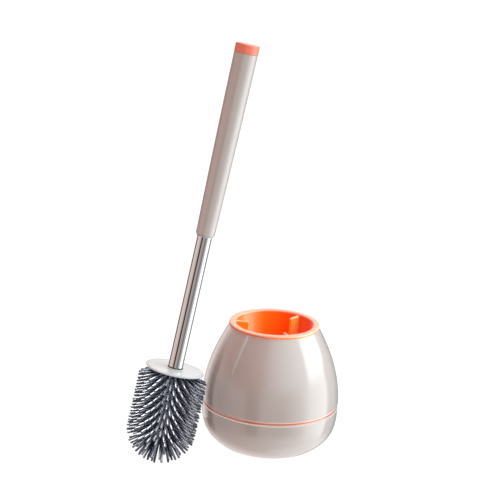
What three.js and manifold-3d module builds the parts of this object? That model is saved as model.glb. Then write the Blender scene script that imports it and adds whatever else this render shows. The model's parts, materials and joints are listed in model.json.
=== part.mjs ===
// A toilet brush set: a round pot with a lift-out liner, and a brush that stands beside it.
// Millimetres, +Z up. The origin is on the floor, under the middle of the pot.
import * as THREE from "three";
import { mergeVertices } from "three/addons/utils/BufferGeometryUtils.js";
import Module from "manifold-3d";

const wasm = await Module();
wasm.setup();

// ---- Driving dimensions of the pot
const POT_RADIUS = 62.5; // outside, at the seam
const POT_HEIGHT = 115.5; // floor to the top of the lip
const SEAM_HEIGHT = 38.4; // floor to the top edge of the base bowl
const FOOT_RADIUS = 44.5; // where the base bowl's curve ends
const MOUTH_RADIUS = 35.3; // clear opening inside the lip
const SHELL_WALL = 2.4;
const LINER_WALL = 2.0;
const BOWL_FLOOR = 2.6;
const SHELL_TOP_SLOPE = 30; // degrees from upright, where the shell meets the lip
const SHELL_TOP_PULL = 26; // how long the shell keeps that slope
const SHELL_SEAM_PULL = 24; // how long the shell stays upright above the seam
const BOWL_SEAM_PULL = 19; // how long the bowl stays upright below the seam
const BOWL_FOOT_PULL = 18; // how long the bowl keeps its slope above the foot
const BOWL_FOOT_SLOPE = 34; // degrees from flat, where the bowl meets the foot
const LIP_HEIGHT = 2.8;
const LIP_OVERHANG = 0.5;
const LINER_FLOOR = 14; // floor to the inside bottom of the liner
const LINER_TAPER = 1.3; // the liner's floor is this much narrower than its mouth
const LINER_CORNER = 10;
const RIB_COUNT = 3;
const RIB_HEADING = 52; // degrees from +X towards +Y, of the first rib
const RIB_REACH = 12; // from the liner's wall towards the middle
const RIB_THICKNESS = 2.2;
const RIB_DROP = 1.6; // below the top of the lip
const RIB_EDGE = 24; // upright inner edge
const RIB_SLOPE = 16; // slanted foot below that edge
const SEAM_RING_HEIGHT = 3.8;
const SEAM_RING_RECESS = 0.4; // inside the shell's outer face
const BOWL_STEP = 0.15; // the bowl's rim is this much smaller than the shell
const COLLAR_HEIGHT = 5; // of the bowl's collar, inside the shell
const COLLAR_WALL = 1.8;
const COLLAR_FIT = 0.3; // between the collar's top edge and the shell
const COLLAR_ROOT = 3.4; // depth of the thick band below the bowl's rim
const FOOT_PROUD = 1.2; // the pad stands this far below the bowl
const PAD_RADIUS = 42;
const PAD_SEAT = 1.5; // depth of the pad's recess
const PAD_GROOVE_RADII = [22, 32];
const PAD_GROOVE_WIDTH = 2;
const PAD_GROOVE_DEPTH = 0.6;

// ---- Driving dimensions of the brush, along its own axis from the top of its disc
const DISC_RADIUS = 26;
const DISC_THICKNESS = 1.3;
const DISC_LIP = 0.5; // height of the raised edge
const DISC_LIP_WIDTH = 1.1;
const BOSS_HEIGHT = 0.6;
const BOSS_OVERHANG = 0.3; // the boss is this much wider than the tube
const SEAL_HEIGHT = 0.6;
const HEAD_RADIUS = 31.1; // at the bristle tips
const HEAD_LENGTH = 87; // disc to the lowest bristle tip
const BRISTLE_LENGTH = 20.4;
const BRISTLE_ROOT = 1.35;
const BRISTLE_TIP = 0.95;
const BRISTLE_SIDES = 3;
const BRISTLE_SINK = 1.2; // each root starts this far inside the sleeve
const BRISTLE_DROOP = 12; // degrees below square to the axis
const BRISTLES_PER_RING = 22;
const BRISTLE_PITCH = 4.2; // along the axis, between one ring and the next
const DOME_RING_STEP = 15; // degrees between the rings round the end
const SPINE_RADIUS = 5;
const SPINE_END_WALL = 4; // of the sleeve, below the spine
const SPIGOT_RADIUS = 4;
const SPIGOT_LENGTH = 24;
const LUG_INSET = 0.4; // the lugs end this far inside the plug's outer face
const LUG_WIDTH = 2.4;
const LUG_HEIGHT = 3;
const LUG_LEVEL = 15;
const LOCK_TURN = 90; // degrees, to free the lugs
const TUBE_RADIUS = 6.6;
const TUBE_WALL = 0.8;
const TUBE_SHOWN = 120.4; // disc to the collar of the grip
const TUBE_IN_GRIP = 62;
const PLUG_LENGTH = 27;
const PLUG_FLANGE = 1.2; // top rim of the plug's bore, inwards
const COLLAR_RING_HEIGHT = 1.5;
const COLLAR_RING_WIDTH = 0.55;
const GRIP_LENGTH = 160;
const GRIP_END_WALL = 1.5;
const GRIP_TOP_RADIUS = 10.45;
const GRIP_BELLY = 0.25; // how far the grip stands proud of a straight taper, halfway up
const GRIP_WALL = 2.2;
const GRIP_STOP = 2.2; // inner shoulder above the tube
const GRIP_STOP_HEIGHT = 4;
const CAP_HEIGHT = 8.6;
const CAP_OVERHANG = 0.1;
const CAP_PLUG_LENGTH = 18;
const CAP_PLUG_WALL = 2;
const CAP_CROWN = 0.5;

// ---- How the brush stands
const BRUSH_LEAN = 11.45; // degrees from upright
const BRUSH_LEAN_HEADING = 32.2; // degrees from +X towards +Y
const STAND_HEADING = 212.4; // where the head stands, seen from the pot
const STAND_GAP = 25.4; // between the widest of the pot and the bristle tips

// ---- Clearances and rounding
const GAP = 0.2; // between faces that rest on each other
const LIFT_FIT = 0.5; // round a piece that lifts out by hand
const SEAT_FIT = 0.3; // round a piece that is pressed or glued in
const TURN_FIT = 0.3; // round a piece that turns
const EDGE = 0.6; // fillet on an outer edge
const EDGE_STEPS = 2; // facets on a fillet up to LARGE_FILLET
const CORNER_STEPS = 4; // and on a larger one
const LARGE_FILLET = 2;
const CURVE_STEPS = 8;
const BELLY_STEPS = 4;
const POT_SEGMENTS = 40;
const STICK_SEGMENTS = 32;
const FINE_SEGMENTS = 24;

// ---- What follows from them
const rad = THREE.MathUtils.degToRad;
const linerRadius = MOUTH_RADIUS + LINER_WALL;
const lipUnderside = POT_HEIGHT - LIP_HEIGHT;
const shellTop = lipUnderside - GAP;
const shellMouth = linerRadius + LIFT_FIT;
const shellTopRadius = shellMouth + SHELL_WALL / Math.cos(rad(SHELL_TOP_SLOPE));
const lipRadius = shellTopRadius + LIP_OVERHANG;
const ringBottom = SEAM_HEIGHT + GAP;
const ringTop = ringBottom + SEAM_RING_HEIGHT;
const shellBottom = ringTop + GAP;
const collarTop = shellBottom + COLLAR_HEIGHT;
const padTop = FOOT_PROUD + PAD_SEAT - GAP;
const bowlFloorTop = FOOT_PROUD + PAD_SEAT + BOWL_FLOOR;
const sleeveRadius = HEAD_RADIUS - BRISTLE_LENGTH * Math.cos(rad(BRISTLE_DROOP));
const domeLevel = -(HEAD_LENGTH - sleeveRadius - BRISTLE_LENGTH);
const discUnderside = -DISC_THICKNESS;
const bossRadius = TUBE_RADIUS + BOSS_OVERHANG;
const sealBottom = BOSS_HEIGHT + GAP;
const tubeBottom = sealBottom + SEAL_HEIGHT + GAP;
const tubeBore = TUBE_RADIUS - TUBE_WALL;
const plugRadius = tubeBore - SEAT_FIT;
const plugBore = SPIGOT_RADIUS + TURN_FIT;
const lugRadius = plugRadius - LUG_INSET;
const gripBottom = TUBE_SHOWN + COLLAR_RING_HEIGHT + GAP;
const gripTop = gripBottom + GRIP_LENGTH;
const tubeTop = gripBottom + TUBE_IN_GRIP;
const gripBore = TUBE_RADIUS + SEAT_FIT;
const gripEndRadius = gripBore + GRIP_END_WALL;
const gripHollow = GRIP_TOP_RADIUS - GRIP_WALL;
const capBottom = gripTop + GAP;
const capRadius = GRIP_TOP_RADIUS + CAP_OVERHANG;

// ---- Helpers for outlines. A corner is [radius, height], with its fillet as a third value.
function roundCorner(before, corner, after) {
  const [x, y, fillet] = corner;
  const here = new THREE.Vector2(x, y);
  const back = new THREE.Vector2(before[0], before[1]).sub(here);
  const ahead = new THREE.Vector2(after[0], after[1]).sub(here);
  const room = Math.min(back.length(), ahead.length()) / 2;
  back.normalize();
  ahead.normalize();
  const half = Math.acos(THREE.MathUtils.clamp(back.dot(ahead), -1, 1)) / 2;
  const cut = Math.min(fillet / Math.tan(half), room);
  const radius = cut * Math.tan(half);
  const centre = back.clone().add(ahead).normalize().multiplyScalar(radius / Math.sin(half)).add(here);
  const start = back.clone().multiplyScalar(cut).add(here).sub(centre);
  const end = ahead.clone().multiplyScalar(cut).add(here).sub(centre);
  const sweep = Math.atan2(start.cross(end), start.dot(end));
  const origin = new THREE.Vector2();
  const steps = fillet > LARGE_FILLET ? CORNER_STEPS : EDGE_STEPS;
  const points = [];
  for (let step = 0; step <= steps; step += 1) {
    const spoke = start.clone().rotateAround(origin, (sweep * step) / steps);
    points.push([centre.x + spoke.x, centre.y + spoke.y]);
  }
  return points;
}

function outline(corners) {
  const count = corners.length;
  const points = [];
  corners.forEach((corner, i) => {
    const before = corners[(i + count - 1) % count];
    const after = corners[(i + 1) % count];
    if (corner[2] > 0) points.push(...roundCorner(before, corner, after));
    else points.push([corner[0], corner[1]]);
  });
  return points;
}

function bezier(start, pullStart, pullEnd, end) {
  const knots = [start, pullStart, pullEnd, end].map(([x, y]) => new THREE.Vector2(x, y));
  return new THREE.CubicBezierCurve(...knots).getPoints(CURVE_STEPS).map((p) => [p.x, p.y]);
}

// A straight run that bulges sideways by a given amount in its middle.
function bulge([x0, y0], [x1, y1], amount) {
  const points = [];
  for (let i = 1; i < BELLY_STEPS; i += 1) {
    const t = i / BELLY_STEPS;
    points.push([x0 + (x1 - x0) * t + amount * 4 * t * (1 - t), y0 + (y1 - y0) * t]);
  }
  return points;
}

// Moves a line of points sideways, to the left of its direction of travel.
function offset(points, distance) {
  return points.map(([x, y], i) => {
    const before = points[Math.max(i - 1, 0)];
    const after = points[Math.min(i + 1, points.length - 1)];
    const run = new THREE.Vector2(after[0] - before[0], after[1] - before[1]).normalize();
    return [x - run.y * distance, y + run.x * distance];
  });
}

// The radius of a rising line of points at a height, the line's ends drawn out where they must be.
function radiusAt(points, height) {
  const above = points.findIndex(([, y]) => y >= height);
  const i = above < 0 ? points.length - 1 : Math.max(1, above);
  const [[x0, y0], [x1, y1]] = [points[i - 1], points[i]];
  return x0 + ((x1 - x0) * (height - y0)) / (y1 - y0);
}

// The part of a rising line of points that lies between two heights.
function between(points, low, high) {
  const inside = points.filter(([, y]) => y > low + EDGE && y < high - EDGE);
  return [[radiusAt(points, low), low], ...inside, [radiusAt(points, high), high]];
}

// ---- Helpers for solids
// Turns an outline round the Z axis. One that doesn't start on the axis is closed on itself.
function revolve(points, segments) {
  const onAxis = points[0][0] === 0;
  const loop = onAxis ? points : [...points, points[0]];
  const profile = loop.map(([x, y]) => new THREE.Vector2(x, y));
  return new THREE.LatheGeometry(profile, segments).rotateX(Math.PI / 2);
}

function solid(geometry) {
  const bare = geometry.clone();
  bare.deleteAttribute("normal");
  bare.deleteAttribute("uv");
  const merged = mergeVertices(bare, 1e-4);
  const corners = merged.index.array;
  const kept = [];
  for (let i = 0; i < corners.length; i += 3) {
    const [a, b, c] = corners.slice(i, i + 3);
    if (a !== b && b !== c && c !== a) kept.push(a, b, c);
  }
  const vertProperties = new Float32Array(merged.attributes.position.array);
  const triVerts = new Uint32Array(kept);
  return new wasm.Manifold(new wasm.Mesh({ numProp: 3, vertProperties, triVerts }));
}

function geometryOf(manifold) {
  const mesh = manifold.getMesh();
  const geometry = new THREE.BufferGeometry();
  geometry.setAttribute("position", new THREE.BufferAttribute(mesh.vertProperties, 3));
  geometry.setIndex(new THREE.BufferAttribute(mesh.triVerts, 1));
  geometry.computeVertexNormals();
  return geometry;
}

function join(base, pieces) {
  return geometryOf(pieces.reduce((sum, piece) => sum.add(solid(piece)), solid(base)));
}

function cut(base, pieces) {
  return geometryOf(pieces.reduce((rest, piece) => rest.subtract(solid(piece)), solid(base)));
}

// ---- Materials
const plastic = (color, roughness) => new THREE.MeshStandardMaterial({ color, roughness, metalness: 0 });
const ivory = plastic(0xe6e2da, 0.16);
const coral = plastic(0xe85a38, 0.28);
const white = plastic(0xf2f2f0, 0.25);
const silicone = plastic(0x2b333f, 0.42);
const rubber = plastic(0x3a3533, 0.7);
const steel = new THREE.MeshStandardMaterial({ color: 0xc9c8c6, roughness: 0.18, metalness: 1 });

function part(name, geometry, material) {
  const mesh = new THREE.Mesh(geometry, material);
  mesh.name = name;
  return mesh;
}

// ---- The pot
function bowlOutside() {
  const slope = rad(BOWL_FOOT_SLOPE);
  const rim = POT_RADIUS - BOWL_STEP;
  const pullX = FOOT_RADIUS + BOWL_FOOT_PULL * Math.cos(slope);
  const pullY = FOOT_PROUD + BOWL_FOOT_PULL * Math.sin(slope);
  const seamPull = [rim, SEAM_HEIGHT - BOWL_SEAM_PULL];
  return bezier([FOOT_RADIUS, FOOT_PROUD], [pullX, pullY], seamPull, [rim, SEAM_HEIGHT]);
}

function shellOutside() {
  const slope = rad(SHELL_TOP_SLOPE);
  const pullX = shellTopRadius + SHELL_TOP_PULL * Math.sin(slope);
  const pullY = shellTop - SHELL_TOP_PULL * Math.cos(slope);
  const seamPull = [POT_RADIUS, shellBottom + SHELL_SEAM_PULL];
  return bezier([POT_RADIUS, shellBottom], seamPull, [pullX, pullY], [shellTopRadius, shellTop]);
}

const shellInside = between(offset(shellOutside(), SHELL_WALL), shellBottom, shellTop);
const collarRadius = radiusAt(shellInside, collarTop) - COLLAR_FIT;

function baseBowl() {
  const outside = bowlOutside();
  const inside = between(offset(outside, SHELL_WALL), bowlFloorTop, SEAM_HEIGHT - 2 * COLLAR_ROOT);
  const collarInside = collarRadius - COLLAR_WALL;
  const recess = PAD_RADIUS + SEAT_FIT;
  const [rim, rimHeight] = outside.pop();
  return revolve(outline([
    [0, FOOT_PROUD + PAD_SEAT],
    [recess, FOOT_PROUD + PAD_SEAT],
    [recess, FOOT_PROUD],
    ...outside,
    [rim, rimHeight, EDGE],
    [collarRadius, SEAM_HEIGHT],
    [collarRadius, collarTop, EDGE],
    [collarInside, collarTop, EDGE],
    [collarInside, SEAM_HEIGHT - COLLAR_ROOT],
    ...inside.toReversed(),
    [0, bowlFloorTop],
  ]), POT_SEGMENTS);
}

function footPad() {
  const grooves = PAD_GROOVE_RADII.flatMap((radius) => [
    [radius, 0],
    [radius, PAD_GROOVE_DEPTH],
    [radius + PAD_GROOVE_WIDTH, PAD_GROOVE_DEPTH],
    [radius + PAD_GROOVE_WIDTH, 0],
  ]);
  return revolve(outline([
    [0, 0],
    ...grooves,
    [PAD_RADIUS, 0, EDGE / 2],
    [PAD_RADIUS, padTop],
    [0, padTop],
  ]), POT_SEGMENTS);
}

function seamRing() {
  const outer = POT_RADIUS - SEAM_RING_RECESS;
  const inner = collarRadius + SEAT_FIT;
  return revolve(outline([
    [inner, ringBottom],
    [outer, ringBottom, EDGE],
    [outer, ringTop, EDGE],
    [inner, ringTop],
  ]), POT_SEGMENTS);
}

function upperShell() {
  const [foot, ...outside] = shellOutside();
  return revolve(outline([
    [...foot, EDGE],
    ...outside,
    ...shellInside.toReversed(),
  ]), POT_SEGMENTS);
}

// Inside radius of the liner's wall at a height.
function linerInside(height) {
  return MOUTH_RADIUS - (LINER_TAPER * (POT_HEIGHT - height)) / (POT_HEIGHT - LINER_FLOOR);
}

function linerRib(heading) {
  const top = POT_HEIGHT - RIB_DROP;
  const inner = MOUTH_RADIUS - RIB_REACH;
  const edgeEnd = top - RIB_EDGE;
  const foot = edgeEnd - RIB_SLOPE;
  const midWall = LINER_WALL / 2;
  const corners = outline([
    [linerInside(top) + midWall, top],
    [inner, top, 2 * EDGE],
    [inner, edgeEnd, 4 * EDGE],
    [linerInside(foot) + midWall / 2, foot],
  ]);
  const shape = new THREE.Shape(corners.map(([x, y]) => new THREE.Vector2(x, y)));
  const rib = new THREE.ExtrudeGeometry(shape, { depth: RIB_THICKNESS, bevelEnabled: false });
  return rib.translate(0, 0, -RIB_THICKNESS / 2).rotateX(Math.PI / 2).rotateZ(heading);
}

function liner() {
  const underFloor = LINER_FLOOR - LINER_WALL;
  const wallFoot = linerInside(LINER_FLOOR);
  const cup = revolve(outline([
    [0, underFloor],
    [wallFoot + LINER_WALL, underFloor, LINER_CORNER + LINER_WALL],
    [linerRadius, lipUnderside],
    [lipRadius, lipUnderside, EDGE],
    [lipRadius, POT_HEIGHT, 3 * EDGE],
    [MOUTH_RADIUS, POT_HEIGHT, 2 * EDGE],
    [wallFoot, LINER_FLOOR, LINER_CORNER],
    [0, LINER_FLOOR],
  ]), POT_SEGMENTS);
  const ribs = [];
  for (let i = 0; i < RIB_COUNT; i += 1) {
    ribs.push(linerRib(rad(RIB_HEADING + (360 * i) / RIB_COUNT)));
  }
  return join(cup, ribs);
}

// ---- The brush, with its axis on Z and the top of its disc at 0
function headCore() {
  const spineEnd = domeLevel - sleeveRadius + SPINE_END_WALL + SEAT_FIT;
  const core = revolve(outline([
    [0, spineEnd],
    [SPINE_RADIUS, spineEnd, 2 * EDGE],
    [SPINE_RADIUS, discUnderside],
    [DISC_RADIUS, discUnderside, EDGE],
    [DISC_RADIUS, DISC_LIP, EDGE],
    [DISC_RADIUS - DISC_LIP_WIDTH, DISC_LIP],
    [DISC_RADIUS - 2 * DISC_LIP_WIDTH, 0],
    [bossRadius, 0],
    [bossRadius, BOSS_HEIGHT],
    [SPIGOT_RADIUS, BOSS_HEIGHT],
    [SPIGOT_RADIUS, SPIGOT_LENGTH, EDGE],
    [0, SPIGOT_LENGTH],
  ]), STICK_SEGMENTS);
  const lugs = new THREE.BoxGeometry(2 * lugRadius, LUG_WIDTH, LUG_HEIGHT).translate(0, 0, LUG_LEVEL);
  return join(core, [lugs]);
}

function bristle(root, direction) {
  const length = BRISTLE_LENGTH + BRISTLE_SINK;
  const stem = new THREE.CylinderGeometry(BRISTLE_TIP, BRISTLE_ROOT, length, BRISTLE_SIDES, 1);
  const along = new THREE.Quaternion().setFromUnitVectors(new THREE.Vector3(0, 1, 0), direction);
  const start = root.clone().addScaledVector(direction, -BRISTLE_SINK);
  return stem.translate(0, length / 2, 0).applyQuaternion(along).translate(start.x, start.y, start.z);
}

// One ring of bristles: its roots lie at a radius and a level, and it points down by an angle.
function bristleRing(radius, level, pointDown, count, turn) {
  const ring = [];
  for (let i = 0; i < count; i += 1) {
    const heading = (2 * Math.PI * (i + turn)) / count;
    const flat = new THREE.Vector3(Math.cos(heading), Math.sin(heading), 0);
    const root = flat.clone().multiplyScalar(radius).setZ(level);
    const direction = flat.multiplyScalar(Math.cos(pointDown)).setZ(-Math.sin(pointDown));
    ring.push(bristle(root, direction));
  }
  return ring;
}

function bristleSleeve() {
  const top = discUnderside - GAP;
  const bore = SPINE_RADIUS + SEAT_FIT;
  const boreEnd = domeLevel - sleeveRadius + SPINE_END_WALL;
  const sleeve = revolve(outline([
    [0, domeLevel - sleeveRadius],
    [sleeveRadius, domeLevel - sleeveRadius, sleeveRadius],
    [sleeveRadius, top],
    [bore, top],
    [bore, boreEnd],
    [0, boreEnd],
  ]), BRISTLES_PER_RING);
  const bristles = [];
  const straight = top - 2 * BRISTLE_ROOT - domeLevel;
  const rings = Math.floor(straight / BRISTLE_PITCH);
  for (let i = 1; i <= rings; i += 1) {
    const level = domeLevel + i * BRISTLE_PITCH;
    bristles.push(...bristleRing(sleeveRadius, level, rad(BRISTLE_DROOP), BRISTLES_PER_RING, (i % 2) / 2));
  }
  for (let angle = 0; angle <= 90; angle += DOME_RING_STEP) {
    const down = rad(angle);
    const radius = sleeveRadius * Math.cos(down);
    const count = Math.max(1, Math.round(BRISTLES_PER_RING * Math.cos(down)));
    const pointDown = Math.max(down, rad(BRISTLE_DROOP));
    const level = domeLevel - sleeveRadius * Math.sin(down);
    bristles.push(...bristleRing(radius, level, pointDown, count, ((angle / DOME_RING_STEP) % 2) / 2));
  }
  return join(sleeve, bristles);
}

function ringBetween(inner, outer, bottom, top, fillet = 0) {
  return revolve(outline([
    [inner, bottom],
    [outer, bottom, fillet],
    [outer, top, fillet],
    [inner, top],
  ]), STICK_SEGMENTS);
}

// A sector of a disc between two headings, used to cut the plug's slots.
function slotSector(fromAngle, toAngle, bottom, top) {
  const reach = 2 * TUBE_RADIUS;
  const steps = Math.max(1, Math.round((toAngle - fromAngle) / rad(30)));
  const points = [new THREE.Vector2(0, 0)];
  for (let i = 0; i <= steps; i += 1) {
    const angle = fromAngle + ((toAngle - fromAngle) * i) / steps;
    points.push(new THREE.Vector2(reach * Math.cos(angle), reach * Math.sin(angle)));
  }
  const options = { depth: top - bottom, bevelEnabled: false };
  const sector = new THREE.ExtrudeGeometry(new THREE.Shape(points), options);
  return sector.translate(0, 0, bottom);
}

// The bayonet socket in the tube: each slot runs round for the locking turn, then down and out.
function tubePlug() {
  const bottom = tubeBottom + GAP;
  const top = bottom + PLUG_LENGTH;
  const sleeve = revolve(outline([
    [plugBore, bottom],
    [plugRadius, bottom],
    [plugRadius, top, EDGE],
    [plugBore - PLUG_FLANGE, top],
    [plugBore - PLUG_FLANGE, SPIGOT_LENGTH + 2 * GAP],
    [plugBore, SPIGOT_LENGTH + 2 * GAP],
  ]), FINE_SEGMENTS);
  const half = Math.asin(LUG_WIDTH / 2 / SPIGOT_RADIUS) + TURN_FIT / SPIGOT_RADIUS;
  const low = LUG_LEVEL - LUG_HEIGHT / 2 - TURN_FIT;
  const high = LUG_LEVEL + LUG_HEIGHT / 2 + TURN_FIT;
  const cuts = [0, Math.PI].flatMap((lug) => [
    slotSector(lug - rad(LOCK_TURN) - half, lug + half, low, high),
    slotSector(lug - rad(LOCK_TURN) - half, lug - rad(LOCK_TURN) + half, bottom - 1, low + 1),
  ]);
  return cut(sleeve, cuts);
}

function grip() {
  const stopBottom = tubeTop + GAP;
  const stopTop = stopBottom + GRIP_STOP_HEIGHT;
  return revolve(outline([
    [gripBore, gripBottom],
    [gripEndRadius, gripBottom, EDGE],
    ...bulge([gripEndRadius, gripBottom], [GRIP_TOP_RADIUS, gripTop], GRIP_BELLY),
    [GRIP_TOP_RADIUS, gripTop],
    [gripHollow, gripTop],
    [gripHollow, gripTop - CAP_PLUG_LENGTH - GAP],
    [gripBore, stopTop],
    [gripBore - GRIP_STOP, stopTop],
    [gripBore - GRIP_STOP, stopBottom],
    [gripBore, stopBottom],
  ]), STICK_SEGMENTS);
}

function endCap() {
  const plugOuter = gripHollow - SEAT_FIT;
  const plugBottom = gripTop - CAP_PLUG_LENGTH;
  const top = gripTop + CAP_HEIGHT;
  const skirt = top - 2 * EDGE - 2 * CAP_PLUG_WALL;
  return revolve(outline([
    [0, skirt],
    [plugOuter - CAP_PLUG_WALL, skirt],
    [plugOuter - CAP_PLUG_WALL, plugBottom],
    [plugOuter, plugBottom, EDGE],
    [plugOuter, capBottom],
    [capRadius, capBottom],
    [capRadius, top - CAP_CROWN, 2 * EDGE],
    [0, top],
  ]), STICK_SEGMENTS);
}

// ---- The set
const pot = new THREE.Group();
pot.add(part("base_bowl", baseBowl(), ivory));
pot.add(part("foot_pad", footPad(), rubber));
pot.add(part("seam_ring", seamRing(), coral));
pot.add(part("upper_shell", upperShell(), ivory));
pot.add(part("liner", liner(), coral));

const brush = new THREE.Group();
brush.add(part("head_core", headCore(), white));
brush.add(part("bristle_sleeve", bristleSleeve(), silicone));
brush.add(part("tube_seal", ringBetween(tubeBore, bossRadius, sealBottom, sealBottom + SEAL_HEIGHT), rubber));
brush.add(part("steel_tube", ringBetween(tubeBore, TUBE_RADIUS, tubeBottom, tubeTop), steel));
brush.add(part("tube_plug", tubePlug(), white));
brush.add(part("grip_collar", ringBetween(
  TUBE_RADIUS + SEAT_FIT,
  TUBE_RADIUS + SEAT_FIT + COLLAR_RING_WIDTH,
  TUBE_SHOWN,
  TUBE_SHOWN + COLLAR_RING_HEIGHT,
), white));
brush.add(part("grip", grip(), ivory));
brush.add(part("end_cap", endCap(), coral));

// The brush leans, and stands on its lowest bristle tips.
const lean = rad(BRUSH_LEAN);
const leanHeading = rad(BRUSH_LEAN_HEADING);
const axis = new THREE.Vector3(
  Math.sin(lean) * Math.cos(leanHeading),
  Math.sin(lean) * Math.sin(leanHeading),
  Math.cos(lean),
);
const standDistance = POT_RADIUS + HEAD_RADIUS + STAND_GAP;
const standHeading = rad(STAND_HEADING);
brush.quaternion.setFromUnitVectors(new THREE.Vector3(0, 0, 1), axis);
brush.position.set(standDistance * Math.cos(standHeading), standDistance * Math.sin(standHeading), 0);
brush.position.addScaledVector(axis, HEAD_LENGTH);
brush.updateMatrixWorld(true);
brush.position.z -= new THREE.Box3().setFromObject(brush, true).min.z;

const brushSet = new THREE.Group();
brushSet.add(pot, brush);

export default brushSet;
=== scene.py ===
"""A toilet brush set: a round pot with a lift-out liner, and a brush standing beside it.

The looks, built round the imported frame. Outlines are in millimetres, and make_object scales them to metres.
"""

import json
import math
import random

import bpy
from mathutils import Euler, Matrix, Vector


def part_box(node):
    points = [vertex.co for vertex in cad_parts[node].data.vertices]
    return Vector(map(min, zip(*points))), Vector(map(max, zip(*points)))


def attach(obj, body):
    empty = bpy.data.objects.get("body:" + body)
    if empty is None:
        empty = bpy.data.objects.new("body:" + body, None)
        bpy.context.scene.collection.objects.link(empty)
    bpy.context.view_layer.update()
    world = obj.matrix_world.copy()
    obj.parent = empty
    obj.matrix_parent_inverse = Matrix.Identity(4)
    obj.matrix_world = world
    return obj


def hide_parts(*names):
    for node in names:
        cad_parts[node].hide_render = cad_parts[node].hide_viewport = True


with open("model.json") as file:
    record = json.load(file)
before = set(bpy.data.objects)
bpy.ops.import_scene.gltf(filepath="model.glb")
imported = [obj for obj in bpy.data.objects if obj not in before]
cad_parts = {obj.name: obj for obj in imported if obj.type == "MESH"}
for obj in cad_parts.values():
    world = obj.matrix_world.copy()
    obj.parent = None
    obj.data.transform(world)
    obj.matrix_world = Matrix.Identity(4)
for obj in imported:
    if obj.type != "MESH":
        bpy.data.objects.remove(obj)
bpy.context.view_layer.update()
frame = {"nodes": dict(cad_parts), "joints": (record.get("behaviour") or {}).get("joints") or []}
MM = 0.001
SEED = 7

# ---- Where things are, from the frame
turn = next(j for j in frame["joints"] if j["name"] == "handle_turn")
BRUSH_AXIS = Vector(turn["axis"]).normalized()
BRUSH = Matrix.Translation(Vector(turn["pos_m"])) @ (
    Vector((0, 0, 1)).rotation_difference(BRUSH_AXIS).to_matrix().to_4x4()
)


def top_of(node):
    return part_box(node)[1].z / MM


def bottom_of(node):
    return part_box(node)[0].z / MM


def radius_of(node):
    """Of a piece that stands on the pot's axis."""
    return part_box(node)[1].x / MM


# ---- Clearances and rounding in millimetres, and how finely curves are cut
GAP = 0.2
LIFT_FIT = 0.5
SEAT_FIT = 0.3
EDGE = 0.6
EDGE_STEPS = 6
CORNER_STEPS = 16
LARGE_FILLET = 2
CURVE_STEPS = 56
BULGE_STEPS = 24
LONG_RUN = 1.6
LONGEST_RUN = 6
RUN_END = 0.25
ON_AXIS = 1e-9
POT_SEGMENTS = 192
STICK_SEGMENTS = 96
SHARP = math.radians(38)

# ---- Sizes of the pot, in millimetres and degrees
POT_RADIUS = radius_of("upper_shell")
POT_HEIGHT = top_of("liner")
SEAM_HEIGHT = bottom_of("seam_ring") - GAP
FOOT_RADIUS = 44.5
MOUTH_RADIUS = 35.3
SHELL_WALL = 2.4
LINER_WALL = 2.0
BOWL_FLOOR = 2.6
SHELL_TOP_SLOPE = 30
SHELL_TOP_PULL = 26
SHELL_SEAM_PULL = 24
BOWL_SEAM_PULL = 19
BOWL_FOOT_PULL = 18
BOWL_FOOT_SLOPE = 34
LIP_HEIGHT = 2.8
LIP_OVERHANG = 0.5
LINER_FLOOR = 14
LINER_TAPER = 1.3
LINER_CORNER = 10
RIB_COUNT = 3
RIB_HEADING = 52
RIB_REACH = 12
RIB_THICKNESS = 2.2
RIB_DROP = 1.6
RIB_EDGE = 24
RIB_EDGE_STEPS = 12
RIB_SLOPE = 16
RIB_SLOPE_STEPS = 10
RIB_SLOPE_BEND = 0.35
RIB_SIDE_STEPS = 8
RIB_FLARE = 0.9
RIB_FLARE_REACH = 0.8
RIB_LEAST_DEPTH = 0.15
RIB_LEAST_WIDTH = 0.03
SEAM_RING_HEIGHT = 3.8
SEAM_RING_RECESS = 0.4
SEAM_RING_FILLET = 0.9
BOWL_STEP = 0.15
COLLAR_HEIGHT = 5
COLLAR_WALL = 1.8
COLLAR_FIT = 0.3
COLLAR_ROOT = 3.4
FOOT_PROUD = 1.2
PAD_RADIUS = 42
PAD_SEAT = 1.5
PAD_SEAT_FILLET = 0.2
PAD_GROOVE_RADII = [22, 32]
PAD_GROOVE_WIDTH = 2
PAD_GROOVE_DEPTH = 0.6
PAD_GROOVE_FILLET = 0.15

# ---- Sizes of the brush, in millimetres and degrees. Levels are along its own axis, from the top of its disc.
DISC_RADIUS = 26
DISC_THICKNESS = 1.3
DISC_LIP = 0.5
DISC_LIP_WIDTH = 1.1
DISC_LIP_FILLET = 0.3
DISC_FLOOR_FILLET = 0.8
BOSS_HEIGHT = 0.6
BOSS_OVERHANG = 0.3
BOSS_FILLET = 0.2
BOSS_FOOT_FILLET = 0.4
SEAL_HEIGHT = 0.6
SEAL_LOW_FILLET = 0.25
SEAL_TOP_FILLET = 0.4
SLEEVE_FILLET = 0.4
HEAD_RADIUS = 31.1
HEAD_LENGTH = 87
BRISTLE_LENGTH = 20.4
BRISTLE_ROOT = 1.35
BRISTLE_TIP = 0.95
BRISTLE_SINK = 1.2
BRISTLE_DROOP = 12
BRISTLE_TAPER = 0.8
BRISTLE_TRIM = (0.985, 1.0)  # share of the full length
BRISTLE_SAG = (0.2, 0.7)
BRISTLE_SWAY = 0.35
BRISTLE_ROOT_RISE = 0.25  # share of the sag
BRISTLE_STRAY = 0.012  # radians round the brush
BRISTLE_TILT = 0.03  # radians up or down
LEAST_SINE = 0.05
BRISTLE_SIDES = 9
BRISTLE_STEPS = 9
TIP_ANGLES = (25, 50, 72)
BRISTLES_PER_RING = 22
BRISTLE_PITCH = 4.2
DOME_RING_STEP = 15
SPINE_RADIUS = 5
SPINE_END_WALL = 4
SPIGOT_RADIUS = 4
SPIGOT_LENGTH = 24
LUG_INSET = 0.4
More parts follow.
